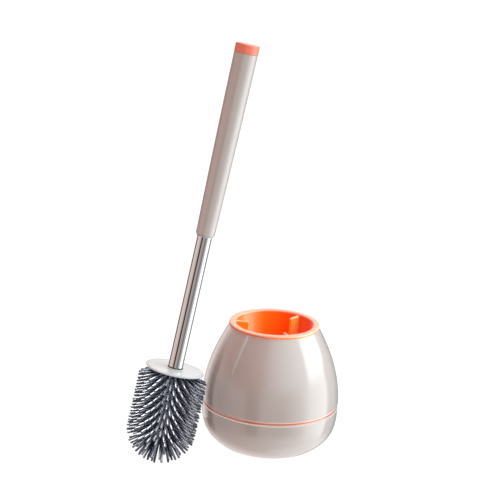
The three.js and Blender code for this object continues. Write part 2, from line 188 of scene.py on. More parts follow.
LUG_WIDTH = 2.4
LUG_HEIGHT = 3
LUG_LEVEL = 15
LUG_CHAMFER = 0.3
TUBE_RADIUS = 6.6
TUBE_WALL = 0.8
TUBE_SHOWN = 120.4
TUBE_IN_GRIP = 62
TUBE_END_FILLET = 0.25
TUBE_BORE_FILLET = 0.15
COLLAR_RING_HEIGHT = 1.5
COLLAR_RING_WIDTH = 0.55
COLLAR_RING_FILLET = 0.3
GRIP_LENGTH = 160
GRIP_END_WALL = 1.5
GRIP_TOP_RADIUS = 10.45
GRIP_BELLY = 0.25
GRIP_WALL = 2.2
GRIP_STOP = 2.2
GRIP_STOP_HEIGHT = 4
GRIP_TOP_FILLET = 0.2
CAP_HEIGHT = 8.6
CAP_OVERHANG = 0.1
CAP_PLUG_LENGTH = 18
CAP_PLUG_WALL = 2
CAP_CROWN = 0.5
CAP_CROWN_STEP = 1.5
CAP_CROWN_STEPS = 6
CAP_FOOT_FILLET = 0.25

# ---- What follows from them
liner_radius = MOUTH_RADIUS + LINER_WALL
lip_underside = POT_HEIGHT - LIP_HEIGHT
shell_top = lip_underside - GAP
shell_mouth = liner_radius + LIFT_FIT
shell_top_radius = shell_mouth + SHELL_WALL / math.cos(math.radians(SHELL_TOP_SLOPE))
lip_radius = shell_top_radius + LIP_OVERHANG
ring_bottom = SEAM_HEIGHT + GAP
ring_top = ring_bottom + SEAM_RING_HEIGHT
shell_bottom = ring_top + GAP
collar_top = shell_bottom + COLLAR_HEIGHT
pad_top = FOOT_PROUD + PAD_SEAT - GAP
bowl_floor_top = FOOT_PROUD + PAD_SEAT + BOWL_FLOOR
droop = math.radians(BRISTLE_DROOP)
sleeve_radius = HEAD_RADIUS - BRISTLE_LENGTH * math.cos(droop)
dome_level = -(HEAD_LENGTH - sleeve_radius - BRISTLE_LENGTH)
sleeve_end = dome_level - sleeve_radius
sleeve_bore_end = sleeve_end + SPINE_END_WALL
disc_underside = -DISC_THICKNESS
boss_radius = TUBE_RADIUS + BOSS_OVERHANG
seal_bottom = BOSS_HEIGHT + GAP
tube_bottom = seal_bottom + SEAL_HEIGHT + GAP
tube_bore = TUBE_RADIUS - TUBE_WALL
lug_radius = tube_bore - SEAT_FIT - LUG_INSET
grip_bottom = TUBE_SHOWN + COLLAR_RING_HEIGHT + GAP
grip_top = grip_bottom + GRIP_LENGTH
tube_top = grip_bottom + TUBE_IN_GRIP
grip_bore = TUBE_RADIUS + SEAT_FIT
grip_end_radius = grip_bore + GRIP_END_WALL
grip_hollow = GRIP_TOP_RADIUS - GRIP_WALL
cap_bottom = grip_top + GAP
cap_radius = GRIP_TOP_RADIUS + CAP_OVERHANG


# ---- Outlines: a corner is (radius, height), with its fillet as a third value
def rounded(before, corner, after):
    """Points of the fillet at one corner, no longer than half of the shorter run beside it."""
    here = Vector(corner[:2])
    back = Vector(before[:2]) - here
    ahead = Vector(after[:2]) - here
    room = min(back.length, ahead.length) / 2
    back.normalize()
    ahead.normalize()
    half = math.acos(max(-1.0, min(1.0, back.dot(ahead)))) / 2
    cut = min(corner[2] / math.tan(half), room)
    radius = cut * math.tan(half)
    centre = (back + ahead).normalized() * (radius / math.sin(half)) + here
    start = back * cut + here - centre
    end = ahead * cut + here - centre
    sweep = math.atan2(start.x * end.y - start.y * end.x, start.dot(end))
    steps = CORNER_STEPS if corner[2] > LARGE_FILLET else EDGE_STEPS
    points = []
    for step in range(steps + 1):
        angle = sweep * step / steps
        c, s = math.cos(angle), math.sin(angle)
        points.append((centre.x + start.x * c - start.y * s, centre.y + start.x * s + start.y * c))
    return points


def outline(corners):
    """The closed outline through the corners, with their fillets."""
    points = []
    for i, corner in enumerate(corners):
        if len(corner) > 2 and corner[2] > 0:
            points += rounded(corners[i - 1], corner, corners[(i + 1) % len(corners)])
        else:
            points.append(tuple(corner[:2]))
    return points


def bezier(p0, p1, p2, p3):
    """A curve from p0 to p3, pulled towards p1 and p2."""
    points = []
    for i in range(CURVE_STEPS + 1):
        t = i / CURVE_STEPS
        u = 1 - t
        weights = (u * u * u, 3 * u * u * t, 3 * u * t * t, t * t * t)
        points.append(tuple(sum(w * p[k] for w, p in zip(weights, (p0, p1, p2, p3))) for k in (0, 1)))
    return points


def bulge(a, b, amount):
    """Points between a and b, swelling outward by the amount halfway."""
    run = []
    for i in range(1, BULGE_STEPS):
        t = i / BULGE_STEPS
        run.append((a[0] + (b[0] - a[0]) * t + amount * 4 * t * (1 - t), a[1] + (b[1] - a[1]) * t))
    return run


def offset(points, distance):
    """The curve moved sideways, to the left of its run."""
    moved = []
    for i, (x, y) in enumerate(points):
        before, after = points[max(i - 1, 0)], points[min(i + 1, len(points) - 1)]
        run = Vector((after[0] - before[0], after[1] - before[1])).normalized()
        moved.append((x - run.y * distance, y + run.x * distance))
    return moved


def radius_at(points, height):
    i = next((k for k, p in enumerate(points) if p[1] >= height), len(points) - 1)
    i = max(1, i)
    (x0, y0), (x1, y1) = points[i - 1], points[i]
    return x0 + (x1 - x0) * (height - y0) / (y1 - y0)


def between(points, low, high):
    """The part of a rising curve between two heights."""
    inside = [p for p in points if low + EDGE < p[1] < high - EDGE]
    return [(radius_at(points, low), low), *inside, (radius_at(points, high), high)]


def supported(points, closed):
    """Adds points near the ends of long straight runs, so that a fillet's shading stays on the fillet."""
    count = len(points)
    out = []
    for i, p in enumerate(points):
        out.append(p)
        if i == count - 1 and not closed:
            break
        q = points[(i + 1) % count]
        length = math.dist(p, q)
        if length < LONG_RUN:
            continue
        stops = [RUN_END / length, 1 - RUN_END / length]
        pieces = int(length / LONGEST_RUN)
        stops += [k / (pieces + 1) for k in range(1, pieces + 1)]
        for t in sorted(stops):
            out.append((p[0] + (q[0] - p[0]) * t, p[1] + (q[1] - p[1]) * t))
    return out


# ---- Meshes
def make_object(name, verts, faces, matrix=None, weighted=True):
    """A smooth-shaded object from places in millimetres."""
    mesh = bpy.data.meshes.new(name)
    mesh.from_pydata([(x * MM, y * MM, z * MM) for x, y, z in verts], [], faces)
    mesh.validate()
    obj = bpy.data.objects.new(name, mesh)
    bpy.context.scene.collection.objects.link(obj)
    if matrix is not None:
        mesh.transform(matrix)
    mesh.shade_smooth()
    mesh.set_sharp_from_angle(angle=SHARP)
    if weighted:
        obj.modifiers.new("even_shading", "WEIGHTED_NORMAL").keep_sharp = True
    return obj


def lathe_data(points, segments):
    """Vertices and outward faces of a profile turned round Z, which ends on the axis or closes on itself."""
    on_axis = abs(points[0][0]) < ON_AXIS
    profile = supported(points, closed=not on_axis)
    area = sum(a[0] * b[1] - b[0] * a[1] for a, b in zip(profile, profile[1:] + profile[:1]))
    if area < 0:
        profile = profile[::-1]
    verts, rings = [], []
    for r, z in profile:
        if r < ON_AXIS:
            rings.append([len(verts)] * segments)
            verts.append((0, 0, z))
            continue
        rings.append(list(range(len(verts), len(verts) + segments)))
        for k in range(segments):
            angle = 2 * math.pi * k / segments
            verts.append((r * math.cos(angle), r * math.sin(angle), z))
    faces = []
    pairs = list(zip(rings, rings[1:]))
    if not on_axis:
        pairs.append((rings[-1], rings[0]))
    for low, high in pairs:
        for k in range(segments):
            n = (k + 1) % segments
            corners = [low[k], low[n], high[n], high[k]]
            face = [c for i, c in enumerate(corners) if c != corners[i - 1]]
            if len(face) > 2:
                faces.append(face)
    return verts, faces


def lathe(name, corners, segments, matrix=None):
    verts, faces = lathe_data(outline(corners), segments)
    return make_object(name, verts, faces, matrix)


# ---- Materials
NOISE_SPAN = (0.3, 0.7)
TONE_SPAN = (0.32, 0.68)
PEEL_DETAIL = 2.0
GRAIN_DETAIL = 5.0
GRAIN_ROUGHNESS = 0.65
HIGHLIGHT_BAND_CORE = 0.5  # share of a painted highlight band's reach that has its full colour
ROOT_FADE = (0.40, 0.78)  # shares of a bristle's length, over which the painted root shade and the rougher roots give way to the tips
# Painted shade: the tint that dims reflections at the bristles' roots.
PAINTED_ROOT_SHADE_TINT = (0.10, 0.11, 0.15)
UNTINTED = (1.0, 1.0, 1.0)


def tree_of(material):
    material.use_nodes = True
    nodes, links = material.node_tree.nodes, material.node_tree.links
    return nodes, links, nodes["Principled BSDF"]


def noise(nodes, links, source, scale, detail=3.0, rough=0.55):
    node = nodes.new("ShaderNodeTexNoise")
    node.inputs["Scale"].default_value = scale
    node.inputs["Detail"].default_value = detail
    node.inputs["Roughness"].default_value = rough
    links.new(source, node.inputs["Vector"])
    return node.outputs["Fac"]


def ranged(nodes, links, value, low, high, start=0, end=1, smooth=False):
    """The value's span from low to high, carried over to the span from start to end."""
    node = nodes.new("ShaderNodeMapRange")
    if smooth:
        node.interpolation_type = "SMOOTHSTEP"
    node.inputs["From Min"].default_value = low
    node.inputs["From Max"].default_value = high
    node.inputs["To Min"].default_value = start
    node.inputs["To Max"].default_value = end
    links.new(value, node.inputs["Value"])
    return node.outputs["Result"]


def ramped(nodes, links, fac, stops):
    """A colour ramp through stops, each a position and a colour."""
    ramp = nodes.new("ShaderNodeValToRGB")
    elements = ramp.color_ramp.elements
    while len(elements) < len(stops):
        elements.new(0.5)
    for element, (position, colour) in zip(elements, stops):
        element.position = position
        element.color = (*colour, 1)
    links.new(fac, ramp.inputs["Fac"])
    return ramp.outputs["Color"]


def math_node(nodes, links, operation, *values):
    """One sum. Each value is a socket or a number."""
    node = nodes.new("ShaderNodeMath")
    node.operation = operation
    for socket, value in zip(node.inputs, values):
        if isinstance(value, (int, float)):
            socket.default_value = value
        else:
            links.new(value, socket)
    return node.outputs["Value"]


def bump(nodes, links, shader, height, strength, distance, after=None):
    node = nodes.new("ShaderNodeBump")
    node.inputs["Strength"].default_value = strength
    node.inputs["Distance"].default_value = distance
    links.new(height, node.inputs["Height"])
    if after is not None:
        links.new(after, node.inputs["Normal"])
    links.new(node.outputs["Normal"], shader.inputs["Normal"])
    return node.outputs["Normal"]


def mixed(nodes, links, fac, first, second):
    """Mix of two colours, each a socket or a plain colour."""
    mix = nodes.new("ShaderNodeMix")
    mix.data_type = "RGBA"
    links.new(fac, mix.inputs["Factor"])
    for socket, value in zip([k for k in mix.inputs if k.type == "RGBA"], (first, second)):
        if isinstance(value, tuple):
            socket.default_value = (*value, 1)
        else:
            links.new(value, socket)
    return next(k for k in mix.outputs if k.type == "RGBA")


def mixed_value(nodes, links, fac, first, second):
    """Mix of a number and a socket."""
    mix = nodes.new("ShaderNodeMix")
    links.new(fac, mix.inputs["Factor"])
    mix.inputs["A"].default_value = first
    links.new(second, mix.inputs["B"])
    return mix.outputs["Result"]


def outward(nodes, links, where):
    """0 at the roots of the bristles and 1 at their tips, from a place in the brush's own frame."""
    parts = nodes.new("ShaderNodeSeparateXYZ")
    links.new(where, parts.inputs["Vector"])
    below = math_node(nodes, links, "SUBTRACT", parts.outputs["Z"], dome_level * MM)
    depth = math_node(nodes, links, "MINIMUM", below, 0)
    spoke = nodes.new("ShaderNodeCombineXYZ")
    for axis, value in (("X", parts.outputs["X"]), ("Y", parts.outputs["Y"]), ("Z", depth)):
        links.new(value, spoke.inputs[axis])
    reach = nodes.new("ShaderNodeVectorMath")
    reach.operation = "LENGTH"
    links.new(spoke.outputs["Vector"], reach.inputs[0])
    start, end = ((sleeve_radius + share * BRISTLE_LENGTH) * MM for share in ROOT_FADE)
    return ranged(nodes, links, reach.outputs["Value"], start, end, smooth=True)


def painted_highlight_bands(nodes, links, where, base, highlight_bands):
    """Painted highlights: a paler colour near the given heights, where light catches an edge. A band is (z,
    reach, colour).
    """
    parts = nodes.new("ShaderNodeSeparateXYZ")
    links.new(where, parts.inputs["Vector"])
    for z, reach, colour in highlight_bands:
        away = math_node(nodes, links, "SUBTRACT", parts.outputs["Z"], z * MM)
        distance = math_node(nodes, links, "ABSOLUTE", away)
        near = ranged(nodes, links, distance, reach * MM * HIGHLIGHT_BAND_CORE, reach * MM, 1, 0, smooth=True)
        base = mixed(nodes, links, near, base, colour)
    return base


def surface(name, colour, rough, tone=0.03, metallic=0.0, coat=0.0, coat_rough=0.03, coat_ior=1.5,
            ior=1.5, stretch=(1, 1, 1), tone_scale=45, rough_scale=220, peel=(900, 0.04, 1e-4), grain=None,
            along_brush=False, highlight_bands=(), roots=None):
    """A finish with slight tone and gloss variation, a skin of fine relief and an optional second relief.

    peel and grain are (scale, strength, distance). roots is the colour and roughness at a bristle's root; the
    darker colour and dimmer reflection there are painted shade between the bristles. The bands are painted
    highlights.
    """
    material = bpy.data.materials.new(name)
    nodes, links, shader = tree_of(material)
    place = nodes.new("ShaderNodeTexCoord")
    lean = nodes.new("ShaderNodeMapping")
    lean.vector_type = "TEXTURE"
    if along_brush:
        lean.inputs["Location"].default_value = BRUSH.translation
        lean.inputs["Rotation"].default_value = BRUSH.to_euler()
    links.new(place.outputs["Object"], lean.inputs["Vector"])
    mapping = nodes.new("ShaderNodeMapping")
    mapping.inputs["Scale"].default_value = stretch
    links.new(lean.outputs["Vector"], mapping.inputs["Vector"])
    where = mapping.outputs["Vector"]
    dark = tuple(c * (1 - tone) for c in colour)
    light = tuple(min(1.0, c * (1 + tone)) for c in colour)
    clouds = noise(nodes, links, where, tone_scale)
    base = ramped(nodes, links, clouds, list(zip(TONE_SPAN, (dark, light))))
    # Painted highlights along edges at the given heights.
    if highlight_bands:
        base = painted_highlight_bands(nodes, links, place.outputs["Object"], base, highlight_bands)
    smears = noise(nodes, links, where, rough_scale)
    gloss = ranged(nodes, links, smears, *NOISE_SPAN, *rough)
    # Painted shade: darker roots with tinted-down reflections, where the bristles shade each other; the roots
    # are also rougher.
    if roots:
        root_shade_colour, root_rough = roots
        out = outward(nodes, links, lean.outputs["Vector"])
        base = mixed(nodes, links, out, root_shade_colour, base)
        gloss = mixed_value(nodes, links, out, root_rough, gloss)
        links.new(mixed(nodes, links, out, PAINTED_ROOT_SHADE_TINT, UNTINTED), shader.inputs["Specular Tint"])
    links.new(base, shader.inputs["Base Color"])
    links.new(gloss, shader.inputs["Roughness"])
    scale, strength, distance = peel
    skin = bump(nodes, links, shader, noise(nodes, links, where, scale, PEEL_DETAIL), strength, distance)
    if grain:
        scale, strength, distance = grain
        relief = noise(nodes, links, where, scale, GRAIN_DETAIL, GRAIN_ROUGHNESS)
        bump(nodes, links, shader, relief, strength, distance, skin)
    shader.inputs["Metallic"].default_value = metallic
    shader.inputs["IOR"].default_value = ior
    shader.inputs["Coat Weight"].default_value = coat
    shader.inputs["Coat Roughness"].default_value = coat_rough
    shader.inputs["Coat IOR"].default_value = coat_ior
    return material


# Painted highlight: a paler colour along the top of the liner's lip, where light catches it.
LIP_TOP_PAINTED_HIGHLIGHT = (0.90, 0.40, 0.29)
# Painted highlight: a pale colour along the tops of the liner's ribs.
RIB_TOP_PAINTED_HIGHLIGHT = (0.98, 0.55, 0.32)
# Painted highlight: a pale colour along the seam ring's top and bottom edges.
RING_EDGE_PAINTED_HIGHLIGHT = (0.93, 0.62, 0.50)
IVORY = surface("ivory_gloss", (0.57, 0.50, 0.47), (0.10, 0.15), tone=0.012, coat=1.0, coat_ior=1.65,
                peel=(700, 0.03, 1e-4))
GRIP = surface("ivory_grip", (0.56, 0.50, 0.47), (0.12, 0.18), tone=0.012, coat=1.0, coat_rough=0.04,
               coat_ior=1.65, peel=(800, 0.04, 1e-4))
# The coral liner's paler band at the lip's top is a painted highlight.
CORAL_IN = surface("coral_gloss", (1.0, 0.15, 0.003), (0.30, 0.38), ior=1.25, coat=0.3, coat_rough=0.4,
                   coat_ior=1.4, peel=(800, 0.05, 1e-4), highlight_bands=[(POT_HEIGHT, 1.7, LIP_TOP_PAINTED_HIGHLIGHT)])
# Painted light: the ribs get a lighter, yellower copy of the liner's coral, as if lit, and a painted highlight
# along their tops.
CORAL_RIB_PAINTED_LIT = surface("coral_rib_painted_lit", (1.0, 0.38, 0.015), (0.30, 0.38), ior=1.25, coat=0.1, coat_rough=0.2,
                    coat_ior=1.4, peel=(800, 0.05, 1e-4), highlight_bands=[(POT_HEIGHT - RIB_DROP, 1.4, RIB_TOP_PAINTED_HIGHLIGHT)])
# The seam ring's pale bands at its top and bottom edges are painted highlights.
CORAL_RING = surface("coral_ring", (0.70, 0.20, 0.125), (0.12, 0.18), ior=1.6, coat=1.0, coat_rough=0.05,
                     coat_ior=1.6, peel=(900, 0.05, 1e-4),
                     highlight_bands=[(ring_top, 1.5, RING_EDGE_PAINTED_HIGHLIGHT), (ring_bottom, 1.5, RING_EDGE_PAINTED_HIGHLIGHT)])
CORAL_CAP = surface("coral_soft", (1.0, 0.225, 0.145), (0.26, 0.36), tone=0.04, coat=0.8, coat_rough=0.14,
                    peel=(1200, 0.10, 1e-4))
WHITE = surface("white_gloss", (0.54, 0.56, 0.57), (0.16, 0.22), tone=0.012, ior=1.35, coat=0.2,
                coat_rough=0.04, peel=(800, 0.04, 1e-4))
# The silicone's darker, duller roots are painted shade between the bristles.
SILICONE = surface("slate_silicone", (0.009, 0.012, 0.021), (0.26, 0.32), tone=0.12, ior=1.42, tone_scale=120,
                   peel=(1800, 0.02, 5e-5), along_brush=True, roots=((0.003, 0.004, 0.009), 0.85))
RUBBER = surface("dark_rubber", (0.035, 0.026, 0.023), (0.55, 0.72), tone=0.15, peel=(2400, 0.25, 1e-4),
                 grain=(420, 0.12, 1e-4))
STEEL = surface("polished_steel", (0.74, 0.72, 0.71), (0.06, 0.11), metallic=1.0, stretch=(1, 1, 0.012),
                tone_scale=900, rough_scale=1600, peel=(2200, 0.05, 2e-5), grain=(5200, 0.03, 1e-5),
                along_brush=True)


def finish_piece(obj, material, slot, body, *nodes):
    obj.data.materials.append(material)
    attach(obj, body)
    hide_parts(*nodes)
    return obj


# ---- The pot
def bowl_outside():
    slope = math.radians(BOWL_FOOT_SLOPE)
    rim = POT_RADIUS - BOWL_STEP
    pull = (FOOT_RADIUS + BOWL_FOOT_PULL * math.cos(slope), FOOT_PROUD + BOWL_FOOT_PULL * math.sin(slope))
    return bezier((FOOT_RADIUS, FOOT_PROUD), pull, (rim, SEAM_HEIGHT - BOWL_SEAM_PULL), (rim, SEAM_HEIGHT))


def shell_outside():
    slope = math.radians(SHELL_TOP_SLOPE)
    pull = (shell_top_radius + SHELL_TOP_PULL * math.sin(slope), shell_top - SHELL_TOP_PULL * math.cos(slope))
    return bezier((POT_RADIUS, shell_bottom), (POT_RADIUS, shell_bottom + SHELL_SEAM_PULL), pull,
                  (shell_top_radius, shell_top))


shell_inside = between(offset(shell_outside(), SHELL_WALL), shell_bottom, shell_top)
collar_radius = radius_at(shell_inside, collar_top) - COLLAR_FIT


def base_bowl():
    outside = bowl_outside()
    inside = between(offset(outside, SHELL_WALL), bowl_floor_top, SEAM_HEIGHT - 2 * COLLAR_ROOT)
    collar_inside = collar_radius - COLLAR_WALL
    recess = PAD_RADIUS + SEAT_FIT
    rim, rim_height = outside.pop()
    outside = [p for p in outside if p[1] < rim_height - 2 * EDGE]
    return lathe("base_bowl_shell", [
        (0, FOOT_PROUD + PAD_SEAT), (recess, FOOT_PROUD + PAD_SEAT), (recess, FOOT_PROUD, PAD_SEAT_FILLET),
        *outside, (rim, rim_height, EDGE), (collar_radius, SEAM_HEIGHT),
        (collar_radius, collar_top, EDGE), (collar_inside, collar_top, EDGE),
        (collar_inside, SEAM_HEIGHT - COLLAR_ROOT), *inside[::-1], (0, bowl_floor_top),
    ], POT_SEGMENTS)


def foot_pad():
    grooves = []
    for near in PAD_GROOVE_RADII:
        far = near + PAD_GROOVE_WIDTH
        corners = ((near, 0), (near, PAD_GROOVE_DEPTH), (far, PAD_GROOVE_DEPTH), (far, 0))
        grooves += [(*corner, PAD_GROOVE_FILLET) for corner in corners]
    return lathe("foot_pad_rubber", [
        (0, 0), *grooves, (PAD_RADIUS, 0, EDGE / 2), (PAD_RADIUS, pad_top), (0, pad_top),
    ], POT_SEGMENTS)


def seam_ring():
    outer = POT_RADIUS - SEAM_RING_RECESS
    inner = collar_radius + SEAT_FIT
    return lathe("seam_ring_band", [
        (inner, ring_bottom), (outer, ring_bottom, SEAM_RING_FILLET), (outer, ring_top, SEAM_RING_FILLET),
        (inner, ring_top),
    ], POT_SEGMENTS)


def upper_shell():
    foot, *outside = shell_outside()
    outside = [p for p in outside if p[1] > foot[1] + 2 * EDGE]
    return lathe("upper_shell_body", [(*foot, EDGE), *outside, *shell_inside[::-1]], POT_SEGMENTS)


def liner_inside(height):
    """Inner radius of the liner, which narrows towards its floor."""
    return MOUTH_RADIUS - LINER_TAPER * (POT_HEIGHT - height) / (POT_HEIGHT - LINER_FLOOR)


def liner_cup():
    under_floor = LINER_FLOOR - LINER_WALL
    wall_foot = liner_inside(LINER_FLOOR)
    return lathe("liner_cup", [
        (0, under_floor), (wall_foot + LINER_WALL, under_floor, LINER_CORNER + LINER_WALL),
        (liner_radius, lip_underside), (lip_radius, lip_underside, EDGE), (lip_radius, POT_HEIGHT, 3 * EDGE),
        (MOUTH_RADIUS, POT_HEIGHT, 2 * EDGE), (wall_foot, LINER_FLOOR, LINER_CORNER), (0, LINER_FLOOR),
    ], POT_SEGMENTS)


def rib_slice(z, foot, edge_end, top):
    """Level outline of a rib, as (radius, sideways): one side, the inner edge and the other side."""
    half = RIB_THICKNESS / 2
    inner = MOUTH_RADIUS - RIB_REACH
    wall = liner_inside(z) + LINER_WALL / 2
    squeeze = 1.0
    edge = inner
    if z > top - half:
        squeeze = math.sqrt(max(0.0, 1 - ((z - top + half) / half) ** 2))
        edge = inner + half * (1 - squeeze) * 2
    if z < edge_end:
        t = (z - foot) / (edge_end - foot)
        edge = wall + (inner - wall) * (t * (2 - t) * RIB_SLOPE_BEND + t * (1 - RIB_SLOPE_BEND))
    edge = min(edge, wall - RIB_LEAST_DEPTH)
    width = max(half * squeeze, RIB_LEAST_WIDTH)
    nose = min(width, (wall - edge) / 2)
    side = []
    for k in range(RIB_SIDE_STEPS + 1):
        r = wall + (edge + nose - wall) * (k / RIB_SIDE_STEPS)
        flare = RIB_FLARE * math.exp(-max(0.0, liner_inside(z) - r) / RIB_FLARE_REACH)
        side.append((r, width + flare * squeeze))
    tip = [(edge + nose - nose * math.sin(math.radians(a)), width * math.cos(math.radians(a)))
           for a in range(15, 180, 15)]
    return side + tip + [(r, -y) for r, y in reversed(side)]


def rib_data(heading):
    """One rib: level slices from its foot to its top, flared at the wall and round at the inner edge."""
    half = RIB_THICKNESS / 2
    top = POT_HEIGHT - RIB_DROP
    edge_end = top - RIB_EDGE
    foot = edge_end - RIB_SLOPE
    levels = [foot + (edge_end - foot) * k / RIB_SLOPE_STEPS for k in range(RIB_SLOPE_STEPS)]
    levels += [edge_end + (top - half - edge_end) * k / RIB_EDGE_STEPS for k in range(RIB_EDGE_STEPS + 1)]
    levels += [top - half + half * math.sin(math.radians(a)) for a in range(10, 90, 10)]
    c, s = math.cos(heading), math.sin(heading)
    verts, faces, rows = [], [], []
    for z in levels:
        loop = rib_slice(z, foot, edge_end, top)
        rows.append(range(len(verts), len(verts) + len(loop)))
        verts += [(r * c - y * s, r * s + y * c, z) for r, y in loop]
    for low, high in zip(rows, rows[1:]):
        n = len(low)
        for k in range(n):
            faces.append([low[k], high[k], high[(k + 1) % n], low[(k + 1) % n]])
    faces.append(list(rows[0]))
    faces.append(list(rows[-1])[::-1])
    return verts, faces


def joined(parts):
    """The vertices and faces of several parts as one mesh."""
    verts, faces = [], []
    for part_verts, part_faces in parts:
        start = len(verts)
        verts += part_verts
        faces += [[i + start for i in face] for face in part_faces]
    return verts, faces


def liner_ribs():
    headings = [math.radians(RIB_HEADING + 360 * i / RIB_COUNT) for i in range(RIB_COUNT)]
    return make_object("liner_ribs", *joined([rib_data(h) for h in headings]))


bowl = finish_piece(base_bowl(), IVORY, "ivory_gloss", "base", "base_bowl")
finish_piece(foot_pad(), RUBBER, "dark_rubber", "base", "foot_pad")
ring = finish_piece(seam_ring(), CORAL_RING, "coral_gloss", "base", "seam_ring")
shell = finish_piece(upper_shell(), IVORY, "ivory_gloss", "shell", "upper_shell")
cup = finish_piece(liner_cup(), CORAL_IN, "coral_gloss", "liner", "liner")
ribs = finish_piece(liner_ribs(), CORAL_RIB_PAINTED_LIT, "coral_gloss", "liner", "liner")
for piece in (bowl, ring, shell, cup, ribs):
    piece.visible_glossy = False


# ---- The brush head
def lug_data():
    """The bar across the spigot whose ends are the bayonet's two lugs, with its long edges chamfered."""
    x, y = lug_radius, LUG_WIDTH / 2
    low, high = LUG_LEVEL - LUG_HEIGHT / 2, LUG_LEVEL + LUG_HEIGHT / 2
    rows = [(LUG_CHAMFER, low), (0, low + LUG_CHAMFER), (0, high - LUG_CHAMFER), (LUG_CHAMFER, high)]
    verts = [(sx * (x - inset), sy * (y - inset), z) for inset, z in rows
             for sx, sy in ((1, 1), (-1, 1), (-1, -1), (1, -1))]
    faces = [[3, 2, 1, 0], [12, 13, 14, 15]]
    for row in range(3):
        for k in range(4):
            n = (k + 1) % 4
            faces.append([row * 4 + k, row * 4 + n, row * 4 + 4 + n, row * 4 + 4 + k])
    return verts, faces


def head_core():
    spine_end = sleeve_bore_end + SEAT_FIT
    disc_profile = outline([
        (0, spine_end), (SPINE_RADIUS, spine_end, 2 * EDGE), (SPINE_RADIUS, disc_underside),
        (DISC_RADIUS, disc_underside, EDGE), (DISC_RADIUS, DISC_LIP, EDGE),
        (DISC_RADIUS - DISC_LIP_WIDTH, DISC_LIP, DISC_LIP_FILLET),
        (DISC_RADIUS - 2 * DISC_LIP_WIDTH, 0, DISC_FLOOR_FILLET), (boss_radius, 0, BOSS_FOOT_FILLET),
        (boss_radius, BOSS_HEIGHT, BOSS_FILLET), (SPIGOT_RADIUS, BOSS_HEIGHT),
        (SPIGOT_RADIUS, SPIGOT_LENGTH, EDGE), (0, SPIGOT_LENGTH),
    ])
    parts = [lathe_data(disc_profile, STICK_SEGMENTS), lug_data()]
    return make_object("head_core_disc", *joined(parts), BRUSH)


def bristle_data(root, direction, rng):
    """A tapered, gently bent bristle with a round end, from inside the sleeve to its tip."""
    length = BRISTLE_LENGTH * rng.uniform(*BRISTLE_TRIM)
    sag = rng.uniform(*BRISTLE_SAG)
    sway = rng.uniform(-BRISTLE_SWAY, BRISTLE_SWAY)
    along = Vector(direction).normalized()
    across = along.cross(Vector((0, 0, 1)))
    across = across.normalized() if across.length > LEAST_SINE else Vector((1, 0, 0))
    down = along.cross(across).normalized()
    if down.z > 0:
        down.negate()
    start = Vector(root) - along * BRISTLE_SINK
    total = length + BRISTLE_SINK
    shape = []
    for k in range(BRISTLE_STEPS + 1):
        s = (total - BRISTLE_TIP) * k / BRISTLE_STEPS
        shape.append((s, BRISTLE_ROOT + (BRISTLE_TIP - BRISTLE_ROOT) * (s / total) ** BRISTLE_TAPER))
    end_radius = shape[-1][1]
    for angle in TIP_ANGLES:
        past = BRISTLE_TIP * math.sin(math.radians(angle))
        shape.append((total - BRISTLE_TIP + past, end_radius * math.cos(math.radians(angle))))
    verts, faces = [], []
    for s, r in shape:
        bend = (s / total) ** 2
        drop = sag * bend - BRISTLE_ROOT_RISE * sag
        centre = start + along * s + down * drop + across * (sway * bend)
        for k in range(BRISTLE_SIDES):
            a = 2 * math.pi * k / BRISTLE_SIDES
            verts.append(tuple(centre + across * (r * math.cos(a)) + down * (r * math.sin(a))))
    verts.append(tuple(start + along * total + down * ((1 - BRISTLE_ROOT_RISE) * sag) + across * sway))
    last = len(shape) - 1
    for j in range(last):
        low, high = j * BRISTLE_SIDES, (j + 1) * BRISTLE_SIDES
        for k in range(BRISTLE_SIDES):
            n = (k + 1) % BRISTLE_SIDES
            faces.append([low + k, high + k, high + n, low + n])
    end, tip = last * BRISTLE_SIDES, len(verts) - 1
    for k in range(BRISTLE_SIDES):
        faces.append([end + k, tip, end + (k + 1) % BRISTLE_SIDES])
    faces.append(list(range(BRISTLE_SIDES)))
    if along.cross(across).dot(down) > 0:
        faces = [face[::-1] for face in faces]
    return verts, faces


def bristle_ring(radius, level, point_down, count, turned, rng):
    """Bristles round the sleeve at one level, each a little astray."""
    row = []
    for i in range(count):
        heading = 2 * math.pi * (i + turned) / count + rng.uniform(-BRISTLE_STRAY, BRISTLE_STRAY)
        flat = Vector((math.cos(heading), math.sin(heading), 0))
        root = flat * radius + Vector((0, 0, level))
        tilt = point_down + rng.uniform(-BRISTLE_TILT, BRISTLE_TILT)
        direction = flat * math.cos(tilt) - Vector((0, 0, math.sin(tilt)))
        row.append(bristle_data(root, direction, rng))
    return row


def bristle_sleeve():
    rng = random.Random(SEED)
    top = disc_underside - GAP
    bore = SPINE_RADIUS + SEAT_FIT
    sleeve = outline([
        (0, sleeve_end), (sleeve_radius, sleeve_end, sleeve_radius), (sleeve_radius, top, SLEEVE_FILLET),
        (bore, top), (bore, sleeve_bore_end), (0, sleeve_bore_end),
    ])
    parts = [lathe_data(sleeve, STICK_SEGMENTS)]
    straight = top - 2 * BRISTLE_ROOT - dome_level
    for i in range(1, int(straight // BRISTLE_PITCH) + 1):
        level = dome_level + i * BRISTLE_PITCH
        parts += bristle_ring(sleeve_radius, level, droop, BRISTLES_PER_RING, (i % 2) / 2, rng)
    for step, angle in enumerate(range(0, 91, DOME_RING_STEP)):
        down = math.radians(angle)
        count = max(1, round(BRISTLES_PER_RING * math.cos(down)))
        level = dome_level - sleeve_radius * math.sin(down)
        radius = sleeve_radius * math.cos(down)
        parts += bristle_ring(radius, level, max(down, droop), count, (step % 2) / 2, rng)
    return make_object("bristle_head", *joined(parts), BRUSH, weighted=False)


